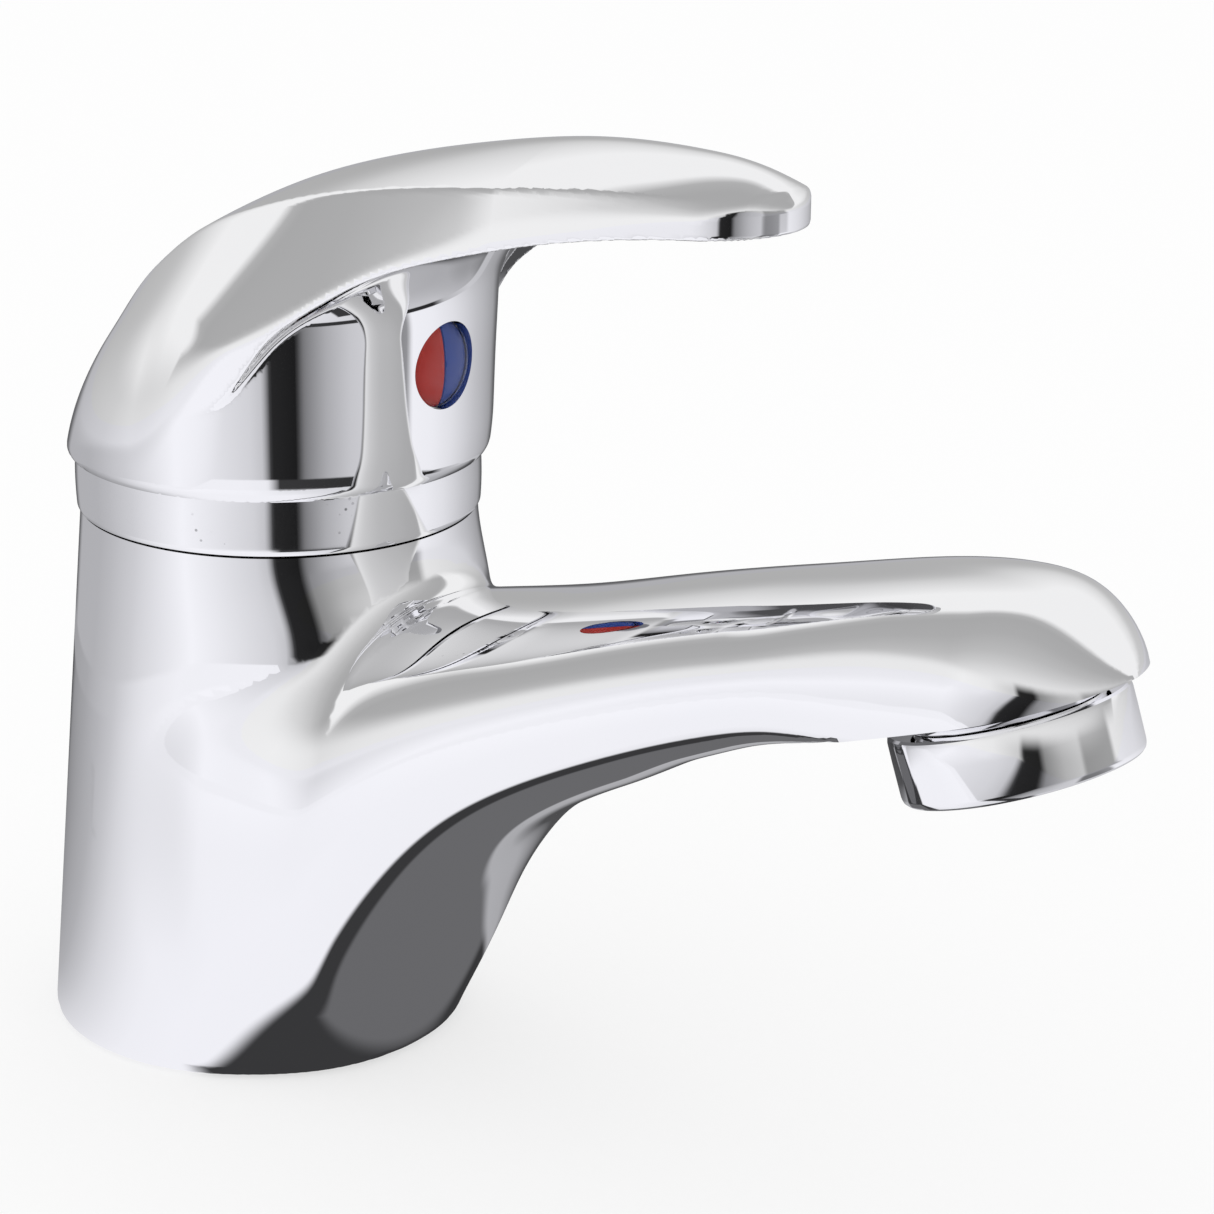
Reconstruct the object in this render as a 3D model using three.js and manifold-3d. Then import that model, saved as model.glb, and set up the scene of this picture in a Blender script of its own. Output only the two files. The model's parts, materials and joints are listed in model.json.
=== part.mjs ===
// Single-lever basin mixer: a cast brass body with its spout, a 35 mm ceramic
// cartridge, a domed cover ring, a cast lever handle and a screw-in aerator.
// Millimetres, +Z up, +X along the spout. The origin is the middle of the base,
// on the plane of the deck.
import * as THREE from 'three';
import { mergeVertices } from 'three/addons/utils/BufferGeometryUtils.js';
import Module from 'manifold-3d';

const wasm = await Module();
wasm.setup();

// ---- Driving dimensions -------------------------------------------------
const GAP = 0.3;                  // clearance between pieces that meet
const AXIS_X = 5.6;               // the cartridge axis stands forward of the base centre
const BASE_RADIUS = 25.5;
const NECK_RADIUS = 24;
const CASTING_TOP = 67;

const PIVOT_Z = 70.8;             // height of the lever's pivot pin
const DOME_RADIUS = 24.5;         // spherical cover ring, centred on the pivot
const DOME_BOTTOM = CASTING_TOP + GAP;
const DOME_TOP = 84.5;

const CHAMBER_FLOOR = 34;
const CHAMBER_RADIUS = 17.8;
const CARTRIDGE_RADIUS = 17.5;
const CARTRIDGE_BORE = 15.2;
const NUT_LEDGE = 54;
const NUT_RADIUS = 19.2;
const INLET_PORT = { x: 4.2, y: 7.6, radius: 2.6 };
const OUTLET_PORT = { x: 9.5, y: 0, radius: 2.6 };

const ROTOR_RADIUS = 11.5;
const BALL_DROP = 17.5;           // stem ball below the pivot
const DISC_REST_OFFSET = -2.3;    // sliding disc behind the axis when the valve is shut

const NOSE_X = 108.5;             // centre of the nose's round front, seen from above
const NOSE_RADIUS = 14.3;
const LIP_Z = 65.1;               // height of the lip's plane at that centre
const LIP_TILT = THREE.MathUtils.degToRad(19);
const SPOUT_WALL = 3;
const COLLAR_RADIUS = 13.3;
const AERATOR_X = 107.4;          // where the aerator's axis meets the lip
const AERATOR_Z = LIP_Z + (AERATOR_X - NOSE_X) * Math.tan(LIP_TILT);

const SKIRT_RADIUS = 26;
const SKIRT_BOTTOM = 74.1;
const LEVER_TIP = { s: 64.3, radius: 9.5 };
const INDICATOR = { z: 88, radius: 5 };

const FINE = 32;
const COARSE = 16;

// ---- Solids from three.js geometry -----------------------------------------
function closed(geometry) {
  geometry.deleteAttribute('normal');
  geometry.deleteAttribute('uv');
  const merged = mergeVertices(geometry);
  const kept = [];
  for (let i = 0; i < merged.index.count; i += 3) {
    const [a, b, c] = [0, 1, 2].map((corner) => merged.index.getX(i + corner));
    if (a !== b && b !== c && c !== a) kept.push(a, b, c);
  }
  merged.setIndex(kept);
  return merged;
}

function solid(geometry) {
  const shell = closed(geometry);
  return new wasm.Manifold(new wasm.Mesh({
    numProp: 3,
    vertProperties: shell.attributes.position.array,
    triVerts: new Uint32Array(shell.index.array),
  }));
}

function geometryOf(piece) {
  const mesh = piece.getMesh();
  const geometry = new THREE.BufferGeometry();
  geometry.setAttribute('position', new THREE.BufferAttribute(mesh.vertProperties, 3));
  geometry.setIndex(new THREE.BufferAttribute(mesh.triVerts, 1));
  geometry.computeVertexNormals();
  return geometry;
}

// A profile is a list of [radius, height], anticlockwise round the section.
function turned(profile, segments = COARSE) {
  const outline = profile.map(([radius, height]) => new THREE.Vector2(radius, height));
  return new THREE.LatheGeometry(outline, segments).rotateX(Math.PI / 2);
}

function disc(radius, low, high, segments = COARSE) {
  return turned([[0, low], [radius, low], [radius, high], [0, high]], segments);
}

function ring(inner, outer, low, high, segments = COARSE) {
  const section = [[inner, low], [outer, low], [outer, high], [inner, high], [inner, low]];
  return turned(section, segments);
}

function block(sizeX, sizeY, low, high) {
  return new THREE.BoxGeometry(sizeX, sizeY, high - low).translate(0, 0, (low + high) / 2);
}

function tube(path, radius, steps, sides = 16) {
  const section = new THREE.Shape().absarc(0, 0, radius, 0, 2 * Math.PI);
  const options = { extrudePath: path, steps, curveSegments: sides, bevelEnabled: false };
  return new THREE.ExtrudeGeometry(section, options);
}

// Moves every vertex of a geometry with a function of its place.
function bent(geometry, place) {
  const position = geometry.attributes.position;
  for (let i = 0; i < position.count; i += 1) {
    position.setXYZ(i, ...place(position.getX(i), position.getY(i), position.getZ(i)));
  }
  return geometry;
}

// Height of a smooth curve through the points, at a distance along it.
function curveThrough(points) {
  const spline = new THREE.SplineCurve(points.map(([x, y]) => new THREE.Vector2(x, y)));
  return (x) => {
    let [low, high] = [0, 1];
    for (let i = 0; i < 24; i += 1) {
      const middle = (low + high) / 2;
      if (spline.getPoint(middle).x < x) low = middle;
      else high = middle;
    }
    return spline.getPoint(low).y;
  };
}

const { PI, cos, sin, sqrt, sign, abs, min, max, hypot } = Math;
const SQUARENESS = 2.5;           // power of the spout's rounded sections
const THINNEST = 0.4;
const CHANNEL_HALF_WIDTH = 9.4;
const squared = (value) => value * value;
const rounded = (value, power) => sign(value) * abs(value) ** (2 / power);

// ---- Body casting ----------------------------------------------------------
const spoutRidge = curveThrough([
  [4, 57], [24, 58.5], [36, 60.8], [48, 63.6], [62, 67.7], [76, 71.6], [90, 75.1],
  [100, 77.2], [107, 77.9], [113, 76.9], [118, 73.9], [NOSE_X + NOSE_RADIUS, 70],
]);
const spoutBelly = curveThrough([
  [4, 1.5], [24, 2], [27, 5.5], [30, 11.8], [36, 22.6], [43, 31.5], [52, 38.9], [64, 45.8],
  [78, 53], [88, 57.8], [96, 60.8], [107, 64.6], [124, 70.4],
]);
// The sections run on below the belly towards the nose, where a flat cut trims
// them, so the spout's sides come down steeply to the lip.
const spoutDrop = curveThrough([
  [4, 0], [60, 0], [70, 0.3], [78, 1], [86, 2.5], [92, 4.5], [98, 6.5], [104, 8], [110, 9], [124, 9],
]);
const spoutTaper = curveThrough([
  [4, 22.6], [20, 22.4], [35, 20.4], [50, 18.1], [65, 16.4], [80, 15.2], [95, 14.6],
  [NOSE_X, NOSE_RADIUS], [126, NOSE_RADIUS],
]);

function spoutHalfWidth(x) {
  const past = max(0, x - NOSE_X) / NOSE_RADIUS;
  return spoutTaper(x) * sqrt(max(0.002, 1 - squared(past)));
}

// Upright rounded sections of the spout between two distances.
function spoutLoft({ start, end, sides, stations, section }) {
  const drum = new THREE.CylinderGeometry(1, 1, 1, sides, stations);
  return bent(drum, (across, along, down) => {
    const x = start + (end - start) * sin((along + 0.5) * PI / 2);
    const { top, bottom, width } = section(x);
    const middle = (top + bottom) / 2;
    const half = max(THINNEST, (top - bottom) / 2);
    const reach = hypot(across, down);
    if (reach < 0.5) return [x, 0, middle];
    const turn = rounded(across / reach, SQUARENESS) * max(THINNEST, width);
    return [x, turn, middle - rounded(down / reach, SQUARENESS) * half];
  });
}

function spoutOutside() {
  const section = (x) => ({
    top: spoutRidge(x),
    bottom: spoutBelly(x) - spoutDrop(x),
    width: spoutHalfWidth(x),
  });
  return spoutLoft({ start: 4, end: NOSE_X + NOSE_RADIUS - 0.1, sides: 28, stations: 24, section });
}

function spoutChannel() {
  const section = (x) => ({
    top: spoutRidge(x) - SPOUT_WALL,
    bottom: spoutBelly(x) + SPOUT_WALL,
    width: min(CHANNEL_HALF_WIDTH, spoutHalfWidth(x) - SPOUT_WALL),
  });
  return spoutLoft({ start: 44, end: 117, sides: 16, stations: 10, section });
}

function column() {
  const edge = 1;
  const profile = [
    [0, 0], [BASE_RADIUS - edge, 0], [BASE_RADIUS - edge * 0.3, edge * 0.3], [BASE_RADIUS, edge],
    [NECK_RADIUS, CASTING_TOP], [0, CASTING_TOP],
  ];
  const lean = (x, y, z) => [x + AXIS_X * z / CASTING_TOP, y, z];
  return solid(bent(turned(profile, FINE), lean));
}

// Everything below the belly's line: flat across, and flat along under the nose.
const UNDERSIDE = { length: 70, middle: 95, width: 60, depth: 20, stations: 20 };

function underside() {
  const { length, middle, width, depth, stations } = UNDERSIDE;
  const blank = new THREE.BoxGeometry(length, width, 1, stations, 1, 1).translate(middle, 0, 0);
  return bent(blank, (x, y, up) => [x, y, up > 0 ? spoutBelly(x) : spoutBelly(x) - depth]);
}

const OUTLET_PATH = new THREE.CatmullRomCurve3([
  new THREE.Vector3(AXIS_X + OUTLET_PORT.x, 0, CHAMBER_FLOOR + 1),
  new THREE.Vector3(17, 0, 28.5),
  new THREE.Vector3(25, 0, 27),
  new THREE.Vector3(36, 0, 36.5),
  new THREE.Vector3(50, 0, 51),
]);
const BASE_POCKET = { x: 2, y: 11, radius: 7.5, depth: 14 };
const INLET_THREAD = { x: 4.5, y: 9, radius: 4.3, top: 23 };
const INLET_BORE = 2.8;
const OUTLET_BORE = 4.5;
const STUD_HOLES = { at: [-14.5, 16], radius: 3.4, depth: 12 };
const AERATOR_BORE = { radius: 10.9, depth: 5, below: 6 };
const SEAL_GROOVE = { inner: 20.5, outer: 23, depth: 2 };

function inletCuts(side) {
  const mouth = new THREE.Vector3(INLET_THREAD.x, side * INLET_THREAD.y, INLET_THREAD.top - 2);
  const port = new THREE.Vector3(AXIS_X + INLET_PORT.x, side * INLET_PORT.y, CHAMBER_FLOOR + 1);
  const pocket = disc(BASE_POCKET.radius, -1, BASE_POCKET.depth);
  const thread = disc(INLET_THREAD.radius, BASE_POCKET.depth - 1, INLET_THREAD.top, 20);
  return [
    pocket.translate(BASE_POCKET.x, side * BASE_POCKET.y, 0),
    thread.translate(INLET_THREAD.x, side * INLET_THREAD.y, 0),
    tube(new THREE.LineCurve3(mouth, port), INLET_BORE, 1, 10),
  ];
}

function bodyCasting() {
  const spout = solid(spoutOutside()).subtract(solid(underside()));
  const bore = disc(AERATOR_BORE.radius, -AERATOR_BORE.below, AERATOR_BORE.depth, FINE);
  const groove = ring(SEAL_GROOVE.inner, SEAL_GROOVE.outer, -1, SEAL_GROOVE.depth, FINE);
  const above = CASTING_TOP + 3;
  const cuts = [
    disc(CHAMBER_RADIUS, CHAMBER_FLOOR, above, FINE).translate(AXIS_X, 0, 0),
    disc(NUT_RADIUS + GAP, NUT_LEDGE, above, FINE).translate(AXIS_X, 0, 0),
    spoutChannel(),
    tube(OUTLET_PATH, OUTLET_BORE, 18),
    bore.rotateY(-LIP_TILT).translate(AERATOR_X, 0, AERATOR_Z),
    groove,
    ...inletCuts(-1),
    ...inletCuts(1),
  ];
  for (const x of STUD_HOLES.at) {
    cuts.push(disc(STUD_HOLES.radius, -1, STUD_HOLES.depth, 20).translate(x, 0, 0));
  }
  let piece = column().add(spout);
  for (const cut of cuts) piece = piece.subtract(solid(cut));
  return geometryOf(piece);
}

function baseSealRing() {
  return ring(SEAL_GROOVE.inner + GAP, SEAL_GROOVE.outer - GAP, GAP, SEAL_GROOVE.depth - GAP, FINE);
}

// ---- Cartridge ---------------------------------------------------------------
const BASE_TOP = 40.3;
const BASE_REBATE = { radius: 19, depth: 1.6 };
const SEAL_SEAT = { margin: 1.6, depth: 1.4 };
const PORT_SEAL = { overlap: 0.1, wall: 1.3, low: BASE_TOP - 1.1, high: BASE_TOP + 0.1 };
const FIXED_DISC = { low: 40.7, high: 44 };
const MOVING_DISC = { low: 44.3, high: 47.9 };
const CARRIER = { low: 48.2, high: 55.8 };
const SHOULDER = 58;
const NECK_TOP = 75.2;
const NECK_OUTER = 14;
const PORTS = {
  hot: { x: INLET_PORT.x, y: -INLET_PORT.y, radius: INLET_PORT.radius },
  cold: { x: INLET_PORT.x, y: INLET_PORT.y, radius: INLET_PORT.radius },
  outlet: OUTLET_PORT,
};

function withPorts(piece, low, high, grow) {
  let cutPiece = piece;
  for (const port of Object.values(PORTS)) {
    const hole = disc(port.radius + grow, low, high, 16).translate(port.x, port.y, 0);
    cutPiece = cutPiece.subtract(solid(hole));
  }
  return cutPiece;
}

function cartridgeBase() {
  const drum = solid(disc(CARTRIDGE_RADIUS, CHAMBER_FLOOR + GAP, BASE_TOP, FINE));
  const drilled = withPorts(drum, CHAMBER_FLOOR - 1, BASE_TOP + 1, 0);
  const seated = withPorts(drilled, BASE_TOP - SEAL_SEAT.depth, BASE_TOP + 1, SEAL_SEAT.margin);
  const step = BASE_TOP - BASE_REBATE.depth;
  const rebate = ring(CARTRIDGE_BORE - GAP, BASE_REBATE.radius, step, BASE_TOP + 1, FINE);
  return geometryOf(seated.subtract(solid(rebate)));
}

function portSeal(port) {
  const { overlap, wall, low, high } = PORT_SEAL;
  const seal = ring(port.radius - overlap, port.radius + wall, low, high, 20);
  return seal.translate(port.x, port.y, 0);
}

function fixedCeramicDisc() {
  const plate = solid(disc(CARTRIDGE_BORE - 0.4, FIXED_DISC.low, FIXED_DISC.high));
  return geometryOf(withPorts(plate, FIXED_DISC.low - 1, FIXED_DISC.high + 1, 0));
}

function cartridgeHousing() {
  const foot = BASE_TOP - BASE_REBATE.depth + GAP;
  const roof = CARRIER.high + 0.8;
  const bore = ROTOR_RADIUS + 0.4;
  return turned([
    [CARTRIDGE_BORE, foot], [CARTRIDGE_RADIUS, foot], [CARTRIDGE_RADIUS, SHOULDER],
    [NECK_OUTER, SHOULDER], [NECK_OUTER, NECK_TOP], [bore, NECK_TOP],
    [bore, roof], [CARTRIDGE_BORE, roof], [CARTRIDGE_BORE, foot],
  ], FINE);
}

const DISC_POCKET = { radius: 7, depth: 2 };
const BALL_SOCKET = { radius: 3.5, floor: 0.4 };

function movingCeramicDisc() {
  const { low, high } = MOVING_DISC;
  const plate = solid(disc(11.5, low, high));
  const pocket = solid(disc(DISC_POCKET.radius, low - 1, low + DISC_POCKET.depth));
  return geometryOf(plate.subtract(pocket).translate([DISC_REST_OFFSET, 0, 0]));
}

function discCarrier() {
  const plate = solid(disc(12, CARRIER.low, CARRIER.high)).translate([DISC_REST_OFFSET, 0, 0]);
  const socket = disc(BALL_SOCKET.radius, CARRIER.low + BALL_SOCKET.floor, CARRIER.high + 1, 20);
  return geometryOf(plate.subtract(solid(socket)));
}

const ROTOR = { low: 58.4, high: 77.4 };
const STOP = { low: NECK_TOP + GAP, high: 78 };
const RING_GROOVE = { floor: 9.6, low: 63.6, high: 66.4 };
const SLOT = { x: 17.2, y: 9.8 };
const PIN = { radius: 1.5, length: 21 };
const LUG = { x: -12, length: 4, width: 3 };
const STOP_RING = { outer: 14.8, halfSwing: 1.08 };
const HEXAGON = { radius: 18.6, low: 64, high: 68.8 };

// A pin or hole that lies along Y at the pivot.
function acrossPivot(radius, length, segments = 16) {
  return disc(radius, -length / 2, length / 2, segments).rotateX(PI / 2).translate(0, 0, PIVOT_Z);
}

function stemRotor() {
  const lug = block(LUG.length, LUG.width, STOP.low + 0.2, ROTOR.high).translate(LUG.x, 0, 0);
  return geometryOf(solid(disc(ROTOR_RADIUS, ROTOR.low, ROTOR.high, FINE))
    .add(solid(lug))
    .subtract(solid(ring(RING_GROOVE.floor, 14, RING_GROOVE.low, RING_GROOVE.high, FINE)))
    .subtract(solid(block(SLOT.x, SLOT.y, ROTOR.low - 1, ROTOR.high + 1)))
    .subtract(solid(acrossPivot(PIN.radius + GAP, PIN.length + 1))));
}

function rotorRing() {
  const { low, high } = RING_GROOVE;
  return ring(RING_GROOVE.floor + GAP, ROTOR_RADIUS + 0.1, low + 0.4, high - 0.4, FINE);
}

function nutRing() {
  const [inner, outer] = [CARTRIDGE_RADIUS + 0.35, NUT_RADIUS - 0.05];
  return ring(inner, outer, NUT_LEDGE + GAP, SHOULDER - GAP, FINE);
}

// The stop ring leaves a gap in which the rotor's lug swings.
function temperatureStopRing() {
  const swing = new THREE.Shape();
  swing.absarc(0, 0, 18, PI - STOP_RING.halfSwing, PI + STOP_RING.halfSwing);
  swing.lineTo(0, 0);
  const options = { depth: 6, bevelEnabled: false, curveSegments: 12 };
  const wedge = new THREE.ExtrudeGeometry(swing, options).translate(0, 0, STOP.low - 1);
  const band = ring(ROTOR_RADIUS + 0.7, STOP_RING.outer, STOP.low, STOP.high, FINE);
  return geometryOf(solid(band).subtract(solid(wedge)));
}

function retainingNut() {
  const hexagon = solid(disc(HEXAGON.radius, HEXAGON.low, HEXAGON.high, 6));
  const thread = solid(disc(NUT_RADIUS, SHOULDER + GAP, HEXAGON.low + 1.6, FINE));
  const bore = solid(disc(NECK_OUTER + GAP, SHOULDER - 1, HEXAGON.high + 1, FINE));
  return geometryOf(thread.add(hexagon).subtract(bore));
}

// A shell of revolution whose wall follows a sphere about the pivot.
function domeRing() {
  const thickness = 2.2;
  const rim = 1.4;
  const arc = (radius, low, high, steps) => {
    const points = [];
    for (let i = 0; i <= steps; i += 1) {
      const z = low + (high - low) * i / steps;
      points.push([sqrt(squared(radius) - squared(z - PIVOT_Z)), z]);
    }
    return points;
  };
  const outer = arc(DOME_RADIUS, DOME_BOTTOM, DOME_TOP, 6);
  const inner = arc(DOME_RADIUS - thickness, DOME_TOP - rim, DOME_BOTTOM, 4);
  return turned([...outer, ...inner, outer[0]], FINE);
}

// ---- Lever -------------------------------------------------------------------
const STEM = {
  ball: 3, rod: 2.2, knuckle: 4.6, knuckleLow: 65.5, knuckleHigh: 77.5, square: 6.8, top: 93,
};

function leverStem() {
  const ballHeight = PIVOT_Z - BALL_DROP;
  const ball = new THREE.SphereGeometry(STEM.ball, 16, 10).translate(0, 0, ballHeight);
  const knuckle = disc(STEM.knuckle, STEM.knuckleLow, STEM.knuckleHigh, 20);
  return geometryOf(solid(ball)
    .add(solid(disc(STEM.rod, ballHeight, STEM.knuckleLow + 1.5)))
    .add(solid(knuckle))
    .add(solid(block(STEM.square, STEM.square, STEM.knuckleHigh - 1, STEM.top)))
    .subtract(solid(acrossPivot(PIN.radius + GAP, 12))));
}

const leverRidge = curveThrough([
  [-26.6, 77], [-25, 80.4], [-23, 82.8], [-20, 86.4], [-10, 96.8], [0, 104.2], [14, 110.2],
  [31, 114.5], [47, 117.1], [60, 117.6], [67, 117], [71, 115.4], [74, 112.6],
]);
const creaseWidth = curveThrough([
  [-26.6, 4], [-22, 12.6], [-19, 16.8], [-12, 16.4], [0, 14.2], [20, 12.5], [40, 10.5], [60, 8.3],
  [68, 6], [74, 2],
]);
const creaseHeight = curveThrough([
  [-26.6, 76.8], [-22, 78.8], [-19, 81], [-15, 88.3], [-12, 92], [0, 100.6], [20, 108.1],
  [40, 111.9], [60, 113.9], [68, 113.6], [74, 112.4],
]);
const edgeHeight = curveThrough([
  [-26.6, 76.6], [-19, 79.2], [-12, 82.4], [0, 84.4], [10, 85.3], [14.4, 87.5], [18, 92.9],
  [22.3, 96.9], [29.6, 101.8], [40.7, 106.2], [48.7, 108.6], [62, 111.3], [74, 112],
]);

// Plan outline: the skirt's circle and the tip's circle, joined by tangents.
function leverHalfWidth(s) {
  const slope = (SKIRT_RADIUS - LEVER_TIP.radius) / LEVER_TIP.s;
  const lean = sqrt(1 - squared(slope));
  const start = SKIRT_RADIUS * slope;
  const end = LEVER_TIP.s + LEVER_TIP.radius * slope;
  if (s < start) return sqrt(max(1, squared(SKIRT_RADIUS) - squared(s)));
  if (s > end) return sqrt(max(1, squared(LEVER_TIP.radius) - squared(s - LEVER_TIP.s)));
  return SKIRT_RADIUS / lean - s * slope / lean;
}

function leverTop(s, y) {
  const crease = min(creaseWidth(s), leverHalfWidth(s) * 0.92);
  const edge = leverHalfWidth(s);
  const out = abs(y);
  if (out <= crease) {
    const crown = 1 - squared(out / crease);
    return creaseHeight(s) + (leverRidge(s) - creaseHeight(s)) * crown;
  }
  const fall = (out - crease) / (edge - crease);
  return creaseHeight(s) + (edgeHeight(s) - creaseHeight(s)) * fall;
}

// A block whose top follows the lever's upper surface and whose floor is given.
function leverBlock(start, end, floor, stations) {
  const blank = new THREE.BoxGeometry(1, 1, 1, stations, 12, 1);
  return solid(bent(blank, (along, across, up) => {
    const s = start + (end - start) * (0.5 - 0.5 * cos((along + 0.5) * PI));
    const y = 2 * across * leverHalfWidth(s);
    return [s, y, up > 0 ? leverTop(s, y) : min(floor(s, y), leverTop(s, y) - 0.4)];
  }));
}

const LEVER_EDGE = 0.7;           // thickness of the lever's lower edge
const LEVER_HOLLOW = 1.6;
const BLADE_ROOT = { s: 14, z: 85 };
const BOSS = { radius: 8.6, low: 81, high: 97, socket: 7.4, socketTop: 93.4 };
const SCREW_HOLE = 2.7;
const INDICATOR_FLOOR = 23;       // bottom of the mark's recess, from the cartridge axis

function leverFloor(s, y) {
  const hollow = LEVER_HOLLOW * (1 - squared(y / leverHalfWidth(s)));
  return s < BLADE_ROOT.s ? BLADE_ROOT.z : edgeHeight(s) - LEVER_EDGE + hollow;
}

function leverHandle() {
  const skirt = turned([
    [0, SKIRT_BOTTOM], [25.3, SKIRT_BOTTOM], [25.7, 75.3], [25.9, 77.3], [SKIRT_RADIUS, 80],
    [26.4, 92], [27.3, 97], [29.2, 100.4], [32.5, 103.3], [38, 105.3], [38, 110], [0, 110],
  ], FINE);
  const curtain = leverBlock(-25.9, 73.7, () => 60, 22);
  const blade = leverBlock(7, 73.7, leverFloor, 16);
  const cavity = new THREE.SphereGeometry(DOME_RADIUS + GAP, FINE, 20).rotateX(PI / 2);
  const screwHole = disc(SCREW_HOLE, 0, 30).rotateY(PI / 2).translate(0, 0, INDICATOR.z);
  const recess = disc(INDICATOR.radius + 0.2, INDICATOR_FLOOR, 32, FINE).rotateY(PI / 2);
  return geometryOf(solid(skirt).intersect(curtain)
    .add(blade)
    .subtract(solid(cavity.translate(0, 0, PIVOT_Z)))
    .add(solid(disc(BOSS.radius, BOSS.low, BOSS.high, 24)).intersect(curtain))
    .subtract(solid(block(BOSS.socket, BOSS.socket, BOSS.low - 10, BOSS.socketTop)))
    .subtract(solid(screwHole))
    .subtract(solid(recess.translate(0, 0, INDICATOR.z))));
}

function handleSetScrew() {
  const shank = solid(disc(2.4, 4.1, 8.4, 20));
  const socket = solid(disc(1.45, 6.2, 10, 6));
  const screw = geometryOf(shank.subtract(socket));
  return screw.rotateY(PI / 2).translate(0, 0, INDICATOR.z);
}

// ---- Temperature mark on the skirt's front -------------------------------------
function facingForward(geometry) {
  return geometry.rotateY(PI / 2).translate(0, 0, INDICATOR.z);
}

const MARK_RADIUS = INDICATOR.radius - 0.1;
const MARK_EDGE = 24.5;           // rim of the coloured dome, from the cartridge axis
const MARK_RISE = 1.4;
const LENS_EDGE = { inner: MARK_EDGE + GAP, outer: MARK_EDGE + 0.6 };
const LENS_RISE = 1.6;

// Points of an elliptic dome, from its rim to its crown.
function domePoints(edge, rise) {
  const steps = 6;
  const points = [];
  for (let i = 0; i <= steps; i += 1) {
    const turn = i / steps * PI / 2;
    points.push([i === steps ? 0 : MARK_RADIUS * cos(turn), edge + rise * sin(turn)]);
  }
  return points;
}

function indicatorCarrier() {
  const plug = disc(2.3, 20.7, 23.6, 20);
  const plate = disc(MARK_RADIUS, 23.3, 23.9, 32);
  return facingForward(geometryOf(solid(plug).add(solid(plate))));
}

function indicatorHalf(side) {
  const dome = turned([[0, 24.2], [MARK_RADIUS, 24.2], ...domePoints(MARK_EDGE, MARK_RISE)], FINE);
  const half = new THREE.BoxGeometry(12, 6, 6).translate(0, side * 3.1, 26);
  return facingForward(geometryOf(solid(dome).intersect(solid(half))));
}

function indicatorLens() {
  const outside = domePoints(LENS_EDGE.outer, LENS_RISE);
  const inside = domePoints(LENS_EDGE.inner, MARK_RISE).reverse();
  return facingForward(turned([...outside, ...inside, outside[0]], FINE));
}

// ---- Aerator, in its own frame: +Z points up along its axis, 0 at the lip ------
const COLLAR = { top: -1.2, bottom: -8.8, neck: 10.5, neckTop: 3.2, bore: 9.7, mouth: 8.7, lip: 1.1 };
const GASKET = { inner: 8.2, outer: 10.5, low: COLLAR.neckTop + GAP, high: 4.7 };
const DISC_IN_COLLAR = 9.3;
const SCREEN = { low: -7.4, high: -6.6 };
const INSERT = { low: -6.3, high: 0.4 };
const FLOW_PLATE = { low: 0.7, high: 2.2 };

function aeratorCollar() {
  return turned([
    [COLLAR.mouth, COLLAR.bottom], [COLLAR_RADIUS - 0.5, COLLAR.bottom],
    [COLLAR_RADIUS, COLLAR.bottom + 0.5], [COLLAR_RADIUS, COLLAR.top - 0.4],
    [COLLAR_RADIUS - 0.4, COLLAR.top], [COLLAR.neck, COLLAR.top], [COLLAR.neck, COLLAR.neckTop],
    [COLLAR.bore, COLLAR.neckTop], [COLLAR.bore, COLLAR.bottom + COLLAR.lip],
    [COLLAR.mouth, COLLAR.bottom + COLLAR.lip],
    [COLLAR.mouth, COLLAR.bottom],
  ], FINE);
}

function aeratorGasket() {
  return ring(GASKET.inner, GASKET.outer, GASKET.low, GASKET.high, FINE);
}

function drilledDisc({ low, high }, holes) {
  let plate = solid(disc(DISC_IN_COLLAR, low, high, FINE));
  for (const { count, circle, size } of holes) {
    for (let i = 0; i < count; i += 1) {
      const turn = 2 * PI * i / count;
      const hole = disc(size, low - 1, high + 1, 8);
      plate = plate.subtract(solid(hole.translate(circle * cos(turn), circle * sin(turn), 0)));
    }
  }
  return geometryOf(plate);
}

const SCREEN_HOLES = [{ count: 8, circle: 7, size: 1.1 }, { count: 4, circle: 3.6, size: 1.1 },
  { count: 1, circle: 0, size: 1.1 }];
const INSERT_HOLES = [{ count: 8, circle: 6.4, size: 1.6 }];
const PLATE_HOLES = [{ count: 8, circle: 6.4, size: 0.8 }, { count: 4, circle: 3.2, size: 0.8 }];

// ---- Assembly ------------------------------------------------------------------
const CHROME = { color: 0xd9dbe0, roughness: 0.06, metalness: 1 };
const BRASS = { color: 0xc9a55a, roughness: 0.35, metalness: 1 };
const STEEL = { color: 0xb9bcc0, roughness: 0.3, metalness: 1 };
const RUBBER = { color: 0x1b1b1d, roughness: 0.8, metalness: 0 };
const CERAMIC = { color: 0xeeece6, roughness: 0.25, metalness: 0 };
const GREY_PLASTIC = { color: 0x6f7378, roughness: 0.5, metalness: 0 };
const WHITE_PLASTIC = { color: 0xe9e9e6, roughness: 0.45, metalness: 0 };
const RED = { color: 0xc8322c, roughness: 0.25, metalness: 0 };
const BLUE = { color: 0x27489c, roughness: 0.25, metalness: 0 };
const CLEAR = { color: 0xf4f4f6, roughness: 0.05, metalness: 0 };

function add(group, name, geometry, finish) {
  const mesh = new THREE.Mesh(geometry, new THREE.MeshStandardMaterial(finish));
  mesh.name = name;
  group.add(mesh);
}

const mixer = new THREE.Group();
add(mixer, 'body_casting', bodyCasting(), CHROME);
add(mixer, 'base_seal_ring', baseSealRing(), RUBBER);

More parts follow.
